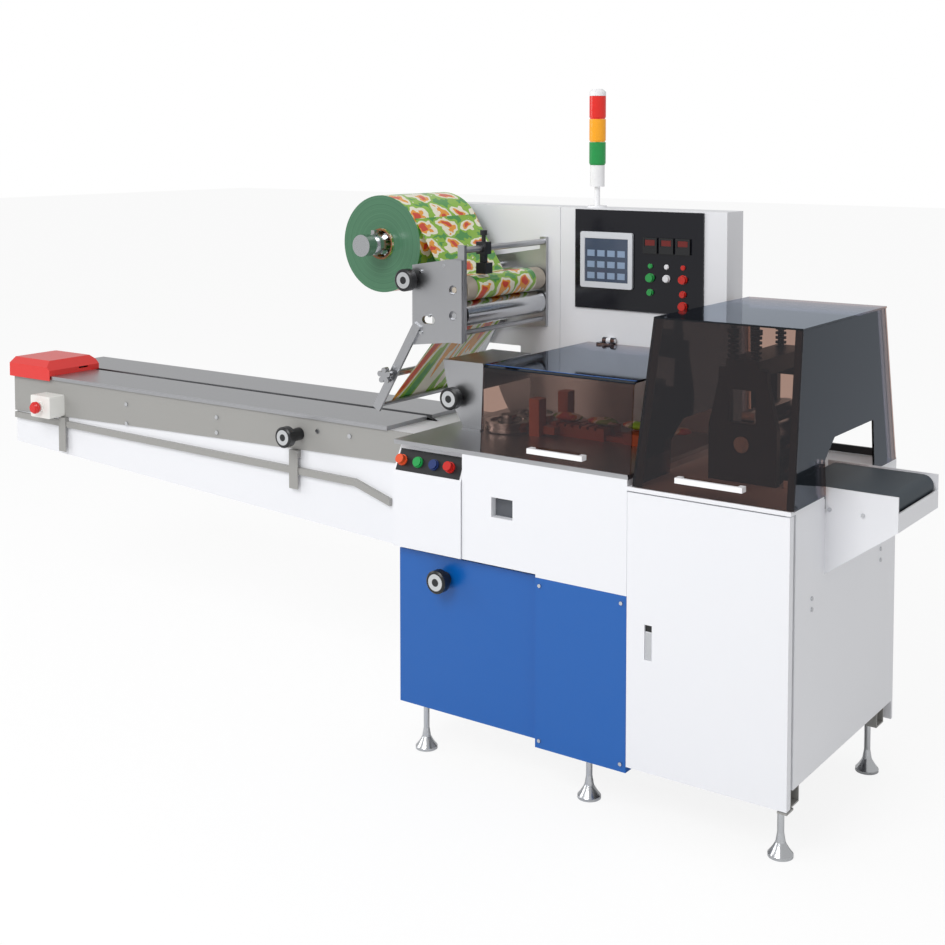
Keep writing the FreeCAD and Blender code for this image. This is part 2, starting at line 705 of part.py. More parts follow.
def stand_rods():
    """The sensor bar, the tie rods and the film guide bars between the two stand plates."""
    y0 = stand_front + stand_plate
    y1 = stand_back
    spots = [(stand_right - 11, sensor_bar_z, sensor_bar_r), (roller_x + 14, 1137, 7), (stand_left + 24, 1290, 9),
             (stand_left + 26, 1120, 7), (idler_x, idler_z, idler_r)]
    return group(*[rod(V(x, y0, z), V(x, y1, z), r) for x, z, r in spots])


idler_x = -1128.0
idler_z = 1262.0
idler_r = 20.0
sensor_y = 245.0


def mark_sensor():
    """Print mark sensor hung from the sensor bar, with its clamp and locking knob."""
    x = stand_right - 11
    clamp = box(x - 16, x + 16, sensor_y - 14, sensor_y + 14, sensor_bar_z - 16, sensor_bar_z + 18)
    bore = rod(V(x, sensor_y - 15, sensor_bar_z), V(x, sensor_y + 15, sensor_bar_z), sensor_bar_r + seat)
    knob = rod(V(x, sensor_y, sensor_bar_z + 18), V(x, sensor_y, sensor_bar_z + 36), 6)
    head = rod(V(x, sensor_y, sensor_bar_z + 36), V(x, sensor_y, sensor_bar_z + 50), 10)
    arm = box(x - 6, x + 6, sensor_y - 10, sensor_y + 10, sensor_bar_z - 42, sensor_bar_z - 16)
    eye = box(x - 14, x + 18, sensor_y - 17, sensor_y + 17, sensor_bar_z - 70, sensor_bar_z - 40)
    return join(clamp.cut(bore), knob, head, arm, eye)


def roller(z, r):
    y0 = stand_front + stand_plate + 6
    y1 = stand_back - 6
    barrel = rod(V(roller_x, y0, z), V(roller_x, y1, z), r)
    journal = rod(V(roller_x, stand_front - 4, z), V(roller_x, wall_y - 1, z), journal_r)
    return join(barrel, journal)


def guide_roller():
    return roller(guide_roller_z, guide_roller_r)


def drive_roller():
    return roller(drive_roller_z, drive_roller_r)


def tangent_strip(c0, r0, side0, c1, r1, side1, thick, y0, y1):
    """A flat strip of film that touches two circles, given the side on which it passes each."""
    a = V(c0[0], 0, c0[1])
    b = V(c1[0], 0, c1[1])
    across = b - a
    length = across.Length
    u = across.normalize()
    n = V(-u.z, 0, u.x)
    s0, s1 = side0 * r0, side1 * r1
    sin_t = (s1 - s0) / length
    cos_t = math.sqrt(1 - sin_t * sin_t)
    normal = n * cos_t - u * sin_t
    p0 = a + normal * s0
    p1 = b + normal * s1
    out = normal * (thick * (1 if s0 + s1 > 0 else -1))
    points = [(p.x, y0, p.z) for p in (p0, p1, p1 + out, p0 + out)]
    return prism(points, (0, y1 - y0, 0)), p0, p1


def wrap(centre, r, thick, start, end, y0, y1):
    """Film round a roller, from one angle to another, counted from +X towards +Z."""
    ring = tube(V(centre[0], y0, centre[1]), V(centre[0], y1, centre[1]), r + thick, r)
    reach = 4 * (r + thick)
    steps = 8
    points = [(centre[0], centre[1])]
    for i in range(steps + 1):
        a = math.radians(start + (end - start) * i / steps)
        points.append((centre[0] + reach * math.cos(a), centre[1] + reach * math.sin(a)))
    return ring.common(xz_prism(points, y0 - 1, y1 + 1))


film_gap = 0.8


def angle_of(point, centre):
    return math.degrees(math.atan2(point.z - centre[1], point.x - centre[0]))


def film_web():
    """The film from the roll over the idler and the two rollers down to the former."""
    y0, y1 = roll_front + 4, roll_back - 4
    roll_c = (roll_x, roll_z)
    idler_c = (idler_x, idler_z)
    guide_c = (roller_x, guide_roller_z)
    drive_c = (roller_x, drive_roller_z)
    inlet_c = (former_lip_x, former_lip_z)
    t = film_thick
    g = film_gap
    first, _, a1 = tangent_strip(roll_c, roll_r + g, 1, idler_c, idler_r + g, 1, t, y0, y1)
    second, b0, b1 = tangent_strip(idler_c, idler_r + g, 1, guide_c, guide_roller_r + g, 1, t, y0, y1)
    third, c0, c1 = tangent_strip(guide_c, guide_roller_r + g, 1, drive_c, drive_roller_r + g, -1, t, y0, y1)
    fourth, d0, d1 = tangent_strip(drive_c, drive_roller_r + g, -1, inlet_c, former_lip_r + g, -1, t, y0, y1)
    wraps = [wrap(idler_c, idler_r + g, t, angle_of(a1, idler_c), angle_of(b0, idler_c), y0, y1),
             wrap(guide_c, guide_roller_r + g, t, angle_of(b1, guide_c), angle_of(c0, guide_c), y0, y1),
             wrap(drive_c, drive_roller_r + g, t, angle_of(c1, drive_c), angle_of(d0, drive_c), y0, y1)]
    return group(*[s for s in (first, second, third, fourth, *wraps) if s.Volume > 1])


# ---- former ---------------------------------------------------------------------------------
former_lip_x = -1300.0
former_lip_z = 912.0
former_lip_r = 6.0
former_left = -1112.0
former_right = -1002.0
former_half = 120.0
former_top = 1046.0
former_sheet = 3.0
arm_width = 26.0
arm_thick = 8.0
former_knob_x = -1090.0
former_knob_z = 944.0


def film_guide_arms():
    """Two flat arms from the stand plates down to the lip rod at which the film turns into the former."""
    top = V(stand_left + 14, 0, stand_bottom + 46)
    low = V(former_lip_x, 0, former_lip_z)
    along = (low - top).normalize()
    side = V(-along.z, 0, along.x) * (arm_width / 2)
    start = top - along * 14
    end = low + along * 12
    pieces = []
    for y in (stand_front - arm_thick, wall_y - stand_plate - arm_thick - seat):
        points = [(p.x, y, p.z) for p in (start + side, end + side, end - side, start - side)]
        pieces.append(prism(points, (0, arm_thick, 0)))
    front_in = stand_front
    rear_in = wall_y - stand_plate - arm_thick - seat
    lip = rod(V(former_lip_x, front_in, former_lip_z), V(former_lip_x, rear_in, former_lip_z), former_lip_r)
    bar_x, bar_z = -1257.0, 1004.0
    bar = rod(V(bar_x, front_in, bar_z), V(bar_x, rear_in, bar_z), 9)
    star = [rod(V(bar_x, stand_front - arm_thick - 26, bar_z), V(bar_x, stand_front - arm_thick, bar_z), 12)]
    for lobe in range(5):
        angle = math.radians(90 + lobe * 72)
        x, z = bar_x + 15 * math.cos(angle), bar_z + 15 * math.sin(angle)
        star.append(rod(V(x, stand_front - arm_thick - 26, z), V(x, stand_front - arm_thick - 10, z), 8))
    return join(pieces[0], pieces[1], lip, bar, *star)


def film_former():
    """Folding box: two cheeks with a swept leading edge, a sloping throat and a tunnel."""
    y0 = line_y - former_half
    y1 = line_y + former_half
    cheek_edges = [Part.makeLine(V(former_right, 0, deck_top), V(former_right, 0, former_top)),
                   Part.makeLine(V(former_right, 0, former_top), V(former_left - 26, 0, former_top)),
                   Part.Arc(V(former_left - 26, 0, former_top), V(former_left + 2, 0, former_top - 110),
                            V(former_left + 48, 0, deck_top)).toShape(),
                   Part.makeLine(V(former_left + 48, 0, deck_top), V(former_right, 0, deck_top))]
    cheek = Part.Face(Part.Wire(cheek_edges)).extrude(V(0, former_sheet, 0))
    front = cheek.copy()
    front.translate(V(0, y0, 0))
    back = cheek.copy()
    back.translate(V(0, y1 - former_sheet, 0))
    top = box(former_left - 26, former_right, y0, y1, former_top - former_sheet, former_top)
    throat = xz_prism([(former_left - 26, former_top - 2), (former_left - 26, former_top - 6),
                       (former_right - 2, former_top - 72), (former_right, former_top - 70)],
                      y0 + former_sheet, y1 - former_sheet)
    foot = box(former_left + 48, former_right, y0 - 14, y0, deck_top, deck_top + 6)
    foot_back = box(former_left + 48, former_right, y1, y1 + 14, deck_top, deck_top + 6)
    bore = rod(V(former_knob_x, y0 - 1, former_knob_z), V(former_knob_x, y0 + 40, former_knob_z),
               journal_r + run_fit)
    block = box(former_knob_x - 18, former_knob_x + 18, y0 + former_sheet, y0 + 34,
                former_knob_z - 18, former_knob_z + 18)
    return join(front, back, top, throat, foot, foot_back, block).cut(bore)


# ---- fin seal under the middle cover ------------------------------------------------------------
fin_x = -952.0
fin_r = 65.0
fin_gap = 3.0
fin_journal_r = 14.0
fin_high = 26.0
fin_centres = (line_y - fin_r - fin_gap / 2, line_y + fin_r + fin_gap / 2)
heater_left = -828.0
heater_right = -660.0


def fin_wheel(y):
    z0 = deck_top + 4
    wheel = rod(V(fin_x, y, z0), V(fin_x, y, z0 + fin_high), fin_r)
    groove = tube(V(fin_x, y, z0 + 9), V(fin_x, y, z0 + 17), fin_r + 1, fin_r - 3)
    hub = rod(V(fin_x, y, z0 + fin_high), V(fin_x, y, z0 + fin_high + 16), 22)
    recess = tube(V(fin_x, y, z0 + fin_high - 6), V(fin_x, y, z0 + fin_high + 1), 52, 30)
    journal = rod(V(fin_x, y, deck_top - deck_thick + seat), V(fin_x, y, z0), fin_journal_r)
    return join(wheel.cut(group(groove, recess)), hub, journal)


def fin_wheel_front():
    return fin_wheel(fin_centres[0])


def fin_wheel_back():
    return fin_wheel(fin_centres[1])


def fin_heaters():
    """Heater bars each side of the fin, with their clamp posts."""
    pieces = []
    for side in (-1, 1):
        near = line_y + side * 6
        far = line_y + side * 46
        y0, y1 = min(near, far), max(near, far)
        bar = box(heater_left, heater_right, y0, y1, deck_top, deck_top + 34)
        second = box(heater_right + 60, heater_right + 140, y0, y1, deck_top, deck_top + 30)
        link = box(heater_right, heater_right + 60, y0 + 12, y1 - 12, deck_top, deck_top + 14)
        slots = [box(heater_left + 18 + i * 24, heater_left + 26 + i * 24, y0 - 1, y1 + 1, deck_top + 26, deck_top + 35)
                 for i in range(6)]
        post_y = line_y + side * 74
        post = box(heater_left - 40, heater_left - 8, post_y - 18, post_y + 18, deck_top, deck_top + 102)
        tie = box(heater_left - 20, heater_left + 30, min(far, post_y), max(far, post_y), deck_top + 6, deck_top + 26)
        pieces.append(join(bar.cut(group(*slots)), second, link, post, tie))
    return group(*pieces)


# ---- end seal head --------------------------------------------------------------------------------
head_plate_y = (line_y - jaw_length / 2 - 12 - head_plate, line_y + jaw_length / 2 + 12)
head_foot_z = jaw_lower_z - 60


def seal_head_frame():
    """Two cast side plates with a cross beam, guide pillars and springs on top."""
    x0, x1 = jaw_x - head_width / 2, jaw_x + head_width / 2
    shoulder = 26
    outline = [(x0, head_foot_z), (x1, head_foot_z), (x1, jaw_upper_z + 40), (x1 - shoulder, head_top - 30),
               (x1 - shoulder, head_top), (x0 + shoulder, head_top), (x0 + shoulder, head_top - 30), (x0, jaw_upper_z + 40)]
    plates = []
    for y in head_plate_y:
        plate = xz_prism(outline, y, y + head_plate)
        bores = [rod(V(jaw_x, y - 1, z), V(jaw_x, y + head_plate + 1, z), jaw_shaft_r + run_fit)
                 for z in (jaw_upper_z, jaw_lower_z)]
        window = box(jaw_x - 34, jaw_x + 34, y - 1, y + head_plate + 1, jaw_upper_z + 52, head_top - 52)
        plates.append(plate.cut(group(window, *bores)))
    beam = box(jaw_x - 44, jaw_x + 44, head_plate_y[0], head_plate_y[1] + head_plate, head_top - 18, head_top + 22)
    tops = []
    for y in head_plate_y:
        yc = y + head_plate / 2
        for dx in (-30, 30):
            pillar = rod(V(jaw_x + dx, yc, head_top), V(jaw_x + dx, yc, head_top + 104), 8)
            nut = rod(V(jaw_x + dx, yc, head_top + 84), V(jaw_x + dx, yc, head_top + 96), 15)
            coils = [rod(V(jaw_x + dx, yc, head_top + 26 + i * 12), V(jaw_x + dx, yc, head_top + 32 + i * 12), 14)
                     for i in range(5)]
            tops.append(join(pillar, nut, *coils))
    return join(*plates, beam, *tops)


def jaw(z, phase):
    """Shaft with two opposed sealing jaws, their faces cut with crimp ridges."""
    y0, y1 = line_y - jaw_length / 2, line_y + jaw_length / 2
    shaft = rod(V(jaw_x, head_plate_y[0] - 6, z), V(jaw_x, head_plate_y[1] + head_plate + 6, z), jaw_shaft_r)
    hub = rod(V(jaw_x, y0 + 6, z), V(jaw_x, y1 - 6, z), 34)
    bar = box(jaw_x - 17, jaw_x + 17, y0, y1, z - jaw_r, z + jaw_r)
    bar = bar.common(rod(V(jaw_x, y0, z), V(jaw_x, y1, z), jaw_r))
    grooves = []
    for end in (-1, 1):
        for i in range(-2, 3):
            x = jaw_x + i * 6
            tip = z + end * (jaw_r + 1)
            grooves.append(box(x - 1.2, x + 1.2, y0 - 1, y1 + 1, min(tip, tip - end * 4), max(tip, tip - end * 4)))
        bite = z + end * (jaw_r - 30)
        grooves.append(box(jaw_x - 18, jaw_x - 11, y0 + 20, y1 - 20, bite - 5, bite + 5))
        grooves.append(box(jaw_x + 11, jaw_x + 18, y0 + 20, y1 - 20, bite - 5, bite + 5))
    made = join(shaft, hub, bar.cut(group(*grooves)))
    made.rotate(V(jaw_x, 0, z), V(0, 1, 0), phase)
    return made


def upper_jaw():
    return jaw(jaw_upper_z, 0)


def lower_jaw():
    return jaw(jaw_lower_z, 0)


# ---- discharge --------------------------------------------------------------------------------------
belt_start = jaw_x + head_width / 2 + 14


def discharge_frame():
    """Two tapered side plates with the end cover, the bed and the roller shafts."""
    t = 4.0
    reach = discharge_reach
    outline = [(0, 640), (0, cabinet_top), (belt_start, cabinet_top - 6), (belt_start, belt_top + 3),
               (reach, belt_top + 3), (reach, 765)]
    inside = [(belt_start, cabinet_top - 4), (0, cabinet_top - 4), (0, belt_top + 3), (belt_start, belt_top + 3)]
    outer = [(0, 640), (0, belt_top + 3), (reach, belt_top + 3), (reach, 765)]
    plates = []
    for y in (discharge_front, discharge_back - t):
        plates.append(join(xz_prism(outer, y, y + t), xz_prism(inside, y, y + t)))
    end = box(reach - t, reach, discharge_front, discharge_back, 765, belt_top - 36)
    under = prism([(0, discharge_front, 640), (reach, discharge_front, 765), (reach, discharge_front, 765 + t),
                   (0, discharge_front, 640 + t)], (0, discharge_width, 0))
    mid_z = belt_top - belt_thick - belt_roller_r
    bed = box(belt_start + 52, reach - 66, discharge_front, discharge_back, mid_z + 8, belt_top - belt_thick - seat)
    shafts = [rod(V(x, discharge_front, mid_z), V(x, discharge_back, mid_z), belt_roller_r - seat)
              for x in (belt_start + belt_roller_r + 6, reach - belt_roller_r - 12)]
    return join(*plates, end, under, bed, *shafts)


def discharge_belt():
    y0, y1 = discharge_front + 10, discharge_back - 10
    mid_z = belt_top - belt_thick - belt_roller_r
    x0 = belt_start + 6 - belt_thick
    x1 = discharge_reach - 12 + belt_thick
    outer = stadium(x0, x1, mid_z - belt_roller_r - belt_thick, belt_top, y0, y1)
    inner = stadium(x0 + belt_thick, x1 - belt_thick, mid_z - belt_roller_r, belt_top - belt_thick, y0 - 1, y1 + 1)
    return outer.cut(inner)


# ---- covers ---------------------------------------------------------------------------------------------
def middle_cover_hood():
    """Bent acrylic sheet: a leaning front and a flat top, with hinge knuckles on its back edge."""
    z0 = deck_top + seat
    y_bottom = 5.0
    y_top = y_bottom + mid_cover_lean
    top = mid_cover_top
    back = mid_hinge_y - 4
    outline = [(y_bottom, z0), (y_top, top - 14), (y_top + 4, top - 4), (y_top + 14, top), (back, top),
               (back, top - pane), (y_top + 16, top - pane), (y_top + 8, top - 8), (y_top + 5, top - 16),
               (y_bottom + pane, z0)]
    sheet_part = yz_prism(outline, mid_cover_left, mid_cover_right)
    knuckles = []
    for x in (mid_cover_left + 60, mid_cover_right - 80):
        for x0, x1 in ((x - 12, x - 0.5), (x + 14.5, x + 26)):
            eye = rod(V(x0, mid_hinge_y, mid_hinge_z), V(x1, mid_hinge_y, mid_hinge_z), 9)
            leaf = box(x0, x1, mid_hinge_y - 40, mid_hinge_y, top - 0.5, mid_hinge_z - 2)
            bore = rod(V(x0 - 1, mid_hinge_y, mid_hinge_z), V(x1 + 1, mid_hinge_y, mid_hinge_z), hinge_pin_r + seat)
            knuckles.append(join(eye, leaf).cut(bore))
    return join(sheet_part, *knuckles)


def bow_handle(x0, x1, face, z, high=13.0, stand_off=22.0):
    """A flat pull handle with two feet."""
    bar = box(x0, x1, face - stand_off, face - stand_off + 8, z - high / 2, z + high / 2)
    feet = [box(x, x + 14, face - stand_off + 8, face, z - high / 2, z + high / 2) for x in (x0, x1 - 14)]
    return join(bar, *feet)


def cover_face(y_bottom, lean, z0, top, z):
    """Where a leaning front face lies at a height."""
    return y_bottom + lean * (z - z0) / (top - z0)


def middle_cover_handle():
    z = deck_top + 27
    face = cover_face(5.0, mid_cover_lean, deck_top + seat, mid_cover_top - 14, z - 7)
    return bow_handle(-700, -538, face, z)


def tapered(x0, x1, y0, y1, z0, z1, side, front, back, inset):
    """A truncated pyramid between two rectangles, shrunk by an inset on every side."""
    low = [(x0 + inset, y0 + inset, z0), (x1 - inset, y0 + inset, z0), (x1 - inset, y1 - inset, z0), (x0 + inset, y1 - inset, z0)]
    high = [(x0 + side + inset, y0 + front + inset, z1), (x1 - side - inset, y0 + front + inset, z1),
            (x1 - side - inset, y1 - back - inset, z1), (x0 + side + inset, y1 - back - inset, z1)]
    wires = [Part.makePolygon([V(*p) for p in ring] + [V(*ring[0])]) for ring in (low, high)]
    return Part.makeLoft(wires, True, True)


cover_z0 = cabinet_top + 2.0
cover_front_y = 0.0
cover_back_y = end_hinge_y - 10.0


def end_cover_block(inset, lift=0.0):
    return tapered(end_cover_left, end_cover_right, cover_front_y, cover_back_y, cover_z0, end_cover_top - lift,
                   end_cover_side_lean, end_cover_lean, end_cover_back_lean, inset)


def end_cover_hood():
    """The front and the top of the end cover in one bent sheet."""
    shell = end_cover_block(0).cut(end_cover_block(pane, pane))
    slope = end_cover_lean / (end_cover_top - cover_z0)
    z1 = end_cover_top
    wedge = [(cover_front_y - 5, cover_z0 - 1), (cover_front_y + pane, cover_z0 - 1),
             (cover_front_y + pane + slope * (z1 - pane - cover_z0), z1 - pane),
             (cover_back_y + 5, z1 - pane), (cover_back_y + 5, z1 + 1), (cover_front_y - 5, z1 + 1)]
    return shell.common(yz_prism(wedge, end_cover_left - 5, end_cover_right + 5))


def end_cover_sides():
    """The two leaning side sheets, the right one with the product exit."""
    g = seat
    shell = end_cover_block(0).cut(end_cover_block(pane))
    slope = end_cover_lean / (end_cover_top - cover_z0)
    back_slope = end_cover_back_lean / (end_cover_top - cover_z0)
    rise = end_cover_top - pane - g - cover_z0
    end_y = cover_back_y - frame_bar - g
    inner = [(cover_front_y + pane + g, cover_z0), (cover_front_y + pane + g + slope * rise, cover_z0 + rise),
             (end_y - back_slope * rise, cover_z0 + rise), (end_y, cover_z0)]
    walls = shell.common(yz_prism(inner, end_cover_left - 5, end_cover_right + 5))
    middle = (end_cover_left + end_cover_right) / 2
    rear = box(end_cover_left + 40, end_cover_right - 40, body_depth - 120, body_depth, cover_z0 - 1, end_cover_top + 1)
    keep_left = box(end_cover_left - 5, end_cover_left + 38, -5, body_depth, cover_z0 - 1, end_cover_top)
    keep_right = box(end_cover_right - 38, end_cover_right + 5, -5, body_depth, cover_z0 - 1, end_cover_top)
    y0, y1 = line_y - exit_width / 2, line_y + exit_width / 2
    z1 = cover_z0 + exit_height
    exit_outline = [(y0, cover_z0 - 1), (y0, z1 - 44), (y0 + 62, z1), (y1, z1), (y1, cover_z0 - 1)]
    exit_cut = yz_prism(exit_outline, end_cover_right - 60, end_cover_right + 6)
    inlet_cut = yz_prism(exit_outline, end_cover_left - 6, end_cover_left + 60)
    left = walls.common(keep_left).cut(rear).cut(inlet_cut)
    right = walls.common(keep_right).cut(rear).cut(exit_cut)
    return group(left, right)


def end_cover_frame():
    """Black flat bars behind the acrylic: two front uprights, two back uprights and the hinge bar."""
    g = seat
    rise = end_cover_top - cover_z0
    slope = end_cover_lean / rise
    back_slope = end_cover_back_lean / rise
    side_slope = end_cover_side_lean / rise
    t = frame_bar
    w = 16.0
    z1 = end_cover_top - pane - g
    pieces = []
    for sign, edge in ((1, end_cover_left), (-1, end_cover_right)):
        def at(z, y_off, x_off, front=True):
            dz = z - cover_z0
            x = edge + sign * (side_slope * dz + x_off)
            y = (cover_front_y + slope * dz + y_off) if front else (cover_back_y - back_slope * dz - y_off)
            return (x, y, z)
        for front in (True, False):
            inset = pane + g
            low = [at(cover_z0, inset if front else 0, pane + g + dx, front) for dx in (0, w)]
            low += [at(cover_z0, (inset if front else 0) + t, pane + g + dx, front) for dx in (w, 0)]
            high = [at(z1, inset if front else 0, pane + g + dx, front) for dx in (0, w)]
            high += [at(z1, (inset if front else 0) + t, pane + g + dx, front) for dx in (w, 0)]
            wires = [Part.makePolygon([V(*p) for p in ring] + [V(*ring[0])]) for ring in (low, high)]
            pieces.append(Part.makeLoft(wires, True, True))
    bar = box(end_cover_left + pane + 1.2, end_cover_right - pane - 1.2, cover_back_y - 8, cover_back_y, cover_z0, cover_z0 + 20)
    knuckles = []
    for x0, x1 in ((end_cover_left + 20, end_cover_left + 34), (end_cover_right - 50, end_cover_right - 36)):
        for a, b in ((x0 - 13, x0 - 0.5), (x1 + 0.5, x1 + 13)):
            eye = rod(V(a, end_hinge_y, end_hinge_z), V(b, end_hinge_y, end_hinge_z), 8)
            web = box(a, b, cover_back_y - 8, end_hinge_y, cover_z0 + 1, cover_z0 + 13)
            bore = rod(V(a - 1, end_hinge_y, end_hinge_z), V(b + 1, end_hinge_y, end_hinge_z), hinge_pin_r + seat)
            knuckles.append(join(eye, web).cut(bore))
    return join(bar, *pieces, *knuckles)


def end_cover_handle():
    z = cover_z0 + 35
    face = cover_face(cover_front_y, end_cover_lean, cover_z0, end_cover_top, z - 7)
    return bow_handle(-284, -112, face, z)


# ---- hand knobs ---------------------------------------------------------------------------------------------
def hand_knob(x, face, z, stand_off, length_in):
    """A round black knob on a shaft, with a steel dial ring let into its face."""
    tip = face - stand_off
    disc = rod(V(x, tip, z), V(x, tip + knob_thick, z), knob_r)
    ring = tube(V(x, tip - 1, z), V(x, tip + 3, z), knob_r - 6, 11)
    rim = cone(V(x, tip, z), V(x, tip - 3, z), knob_r, knob_r - 4)
    hub = rod(V(x, tip + knob_thick, z), V(x, face - 2, z), 19)
    shaft = rod(V(x, face - 2, z), V(x, face + length_in, z), journal_r)
    return join(disc.cut(ring), rim.cut(ring), hub, shaft)


def main_knob():
    return hand_knob(main_knob_x, panel_front + panel_recess, main_knob_z, 46, 60)


def infeed_knob():
    return hand_knob(infeed_knob_x, infeed_front, infeed_knob_z, 72, 50)


def former_knob():
    return hand_knob(former_knob_x, line_y - former_half, former_knob_z, 40, 30)


def stand_knob():
    return hand_knob(stand_knob_x, stand_front, stand_knob_z, 40, stand_plate)


nodes = {
    "base_rails": base_rails, "levelling_feet": levelling_feet,
    "mid_housing": mid_housing, "mid_deck": mid_deck, "left_lower_panel": left_lower_panel,
    "right_lower_panel": right_lower_panel, "front_service_panel": front_service_panel,
    "operator_console": operator_console, "console_buttons": console_buttons,
    "end_cabinet_sides": end_cabinet_sides, "end_cabinet_back": end_cabinet_back,
    "end_cabinet_top": end_cabinet_top, "cabinet_door": cabinet_door,
    "infeed_trough": infeed_trough, "infeed_side_plates": infeed_side_plates, "infeed_deck": infeed_deck,
    "infeed_chain": infeed_chain, "infeed_rail": infeed_rail, "tail_cover": tail_cover,
    "stop_box": stop_box, "stop_button": stop_button,
    "electrical_box": electrical_box, "control_panel": control_panel, "touch_screen": touch_screen,
    "temperature_controllers": temperature_controllers, "panel_buttons": panel_buttons,
    "signal_tower": signal_tower, "tower_lenses": tower_lenses,
    "roll_shaft": roll_shaft, "film_roll": film_roll, "roll_chuck": roll_chuck,
    "film_stand_plates": film_stand_plates, "stand_rods": stand_rods, "mark_sensor": mark_sensor,
    "guide_roller": guide_roller, "drive_roller": drive_roller, "film_web": film_web,
    "film_guide_arms": film_guide_arms, "film_former": film_former,
    "fin_wheel_front": fin_wheel_front, "fin_wheel_back": fin_wheel_back, "fin_heaters": fin_heaters,
    "seal_head_frame": seal_head_frame, "upper_jaw": upper_jaw, "lower_jaw": lower_jaw,
    "discharge_frame": discharge_frame, "discharge_belt": discharge_belt,
    "middle_cover_hood": middle_cover_hood, "middle_cover_handle": middle_cover_handle,
    "end_cover_hood": end_cover_hood, "end_cover_sides": end_cover_sides,
    "end_cover_frame": end_cover_frame, "end_cover_handle": end_cover_handle,
    "main_knob": main_knob, "infeed_knob": infeed_knob, "former_knob": former_knob, "stand_knob": stand_knob,
}

# The footprint runs from the tail guard to the discharge end, and from the cover handles to the back.
handle_reach = 22.0
foremost = cover_face(cover_front_y, end_cover_lean, cover_z0, end_cover_top, cover_z0 + 28) - handle_reach
main_knob_reach = panel_front + panel_recess - 46 - 3
front_end = min(foremost, main_knob_reach)
left_end = infeed_left - 10
middle = V((left_end + discharge_reach) / 2, (front_end + body_depth) / 2, 0)

os.makedirs("parts", exist_ok=True)
for name, make in nodes.items():
    shape = make()
    shape.translate(V(0, 0, 0) - middle)
    if not shape.isValid():
        print("not valid:", name)
    shape.exportStep("parts/" + name + ".step")
print("nodes:", len(nodes), "origin moved by", middle)
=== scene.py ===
import math
import bmesh
import bpy
from mathutils import Matrix, Vector


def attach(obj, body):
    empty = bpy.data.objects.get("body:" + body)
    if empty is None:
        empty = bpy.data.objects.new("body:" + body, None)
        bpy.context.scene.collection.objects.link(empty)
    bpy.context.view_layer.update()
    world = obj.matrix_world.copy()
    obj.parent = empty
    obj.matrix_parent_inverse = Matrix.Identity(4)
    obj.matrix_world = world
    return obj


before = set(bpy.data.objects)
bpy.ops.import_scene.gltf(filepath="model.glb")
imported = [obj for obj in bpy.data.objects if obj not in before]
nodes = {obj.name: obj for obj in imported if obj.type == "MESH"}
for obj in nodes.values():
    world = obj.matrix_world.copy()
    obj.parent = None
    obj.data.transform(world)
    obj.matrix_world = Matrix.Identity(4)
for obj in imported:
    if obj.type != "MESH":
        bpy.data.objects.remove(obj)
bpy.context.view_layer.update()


def machinePoint(x, y, z):
    return Vector((x + 1395.0, y - 334.5, z)) / 1000  # machine millimetres to the row frame


def linear(code):
    values = [int(code[i:i + 2], 16) / 255 for i in (1, 3, 5)]
    return tuple(v / 12.92 if v <= 0.04045 else ((v + 0.055) / 1.055) ** 2.4 for v in values) + (1,)


def addNode(mat, kind, inputs=None, **settings):
    node = mat.node_tree.nodes.new("ShaderNode" + kind)
    for key, value in settings.items():
        setattr(node, key, value)
    for key, value in (inputs or {}).items():
        if isinstance(value, bpy.types.NodeSocket):
            mat.node_tree.links.new(value, node.inputs[key])
        else:
            node.inputs[key].default_value = value
    return node


def blank(name):
    mat = bpy.data.materials.new(name)
    mat.use_nodes = True
    mat.node_tree.nodes.clear()
    return mat


def finishWith(mat, shader):
    out = addNode(mat, "OutputMaterial")
    mat.node_tree.links.new(shader, out.inputs["Surface"])
    return mat


def objectPoint(mat):
    return addNode(mat, "TexCoord").outputs["Object"]


def fineBump(mat, scale, strength, stretch=(1, 1, 1)):
    moved = addNode(mat, "Mapping", {"Vector": objectPoint(mat), "Scale": stretch})
    noise = addNode(mat, "TexNoise", {"Vector": moved.outputs["Vector"], "Scale": scale, "Detail": 3.0})
    bump = addNode(mat, "Bump", {"Height": noise.outputs["Factor" if "Factor" in noise.outputs else "Fac"],
                                 "Strength": strength, "Distance": 0.0004})
    return bump.outputs["Normal"], noise


# Powder coat sprayed on folded sheet steel: fine orange peel and a satin gloss
def powderCoat(name, colour, rough=0.38):
    mat = blank(name)
    normal, noise = fineBump(mat, 240.0, 0.12)
    wide = addNode(mat, "TexNoise", {"Vector": objectPoint(mat), "Scale": 2.5, "Detail": 4.0})
    spread = addNode(mat, "MapRange", {"Value": wide.outputs[0], "To Min": rough - 0.05, "To Max": rough + 0.06})
    shade = addNode(mat, "BsdfPrincipled", {"Base Color": linear(colour), "Roughness": spread.outputs[0],
                                            "Coat Weight": 0.15, "Coat Roughness": 0.2, "Normal": normal})
    return finishWith(mat, shade.outputs[0])


# Cold-rolled stainless sheet with a brushed grain along the given stretch
def brushedSteel(name, colour="#B4B5B8", rough=0.32, stretch=(1, 40, 40)):
    mat = blank(name)
    normal, noise = fineBump(mat, 60.0, 0.18, stretch)
    spread = addNode(mat, "MapRange", {"Value": noise.outputs[0], "To Min": rough - 0.08, "To Max": rough + 0.1})
    shade = addNode(mat, "BsdfPrincipled", {"Base Color": linear(colour), "Metallic": 1.0,
                                            "Roughness": spread.outputs[0], "Normal": normal})
    return finishWith(mat, shade.outputs[0])


# Moulded plastic and rubber: a fine spark-eroded grain from the tool
def moulded(name, colour, rough=0.45, grain=0.1):
    mat = blank(name)
    normal, noise = fineBump(mat, 500.0, grain)
    shade = addNode(mat, "BsdfPrincipled", {"Base Color": linear(colour), "Roughness": rough, "Normal": normal})
    return finishWith(mat, shade.outputs[0])


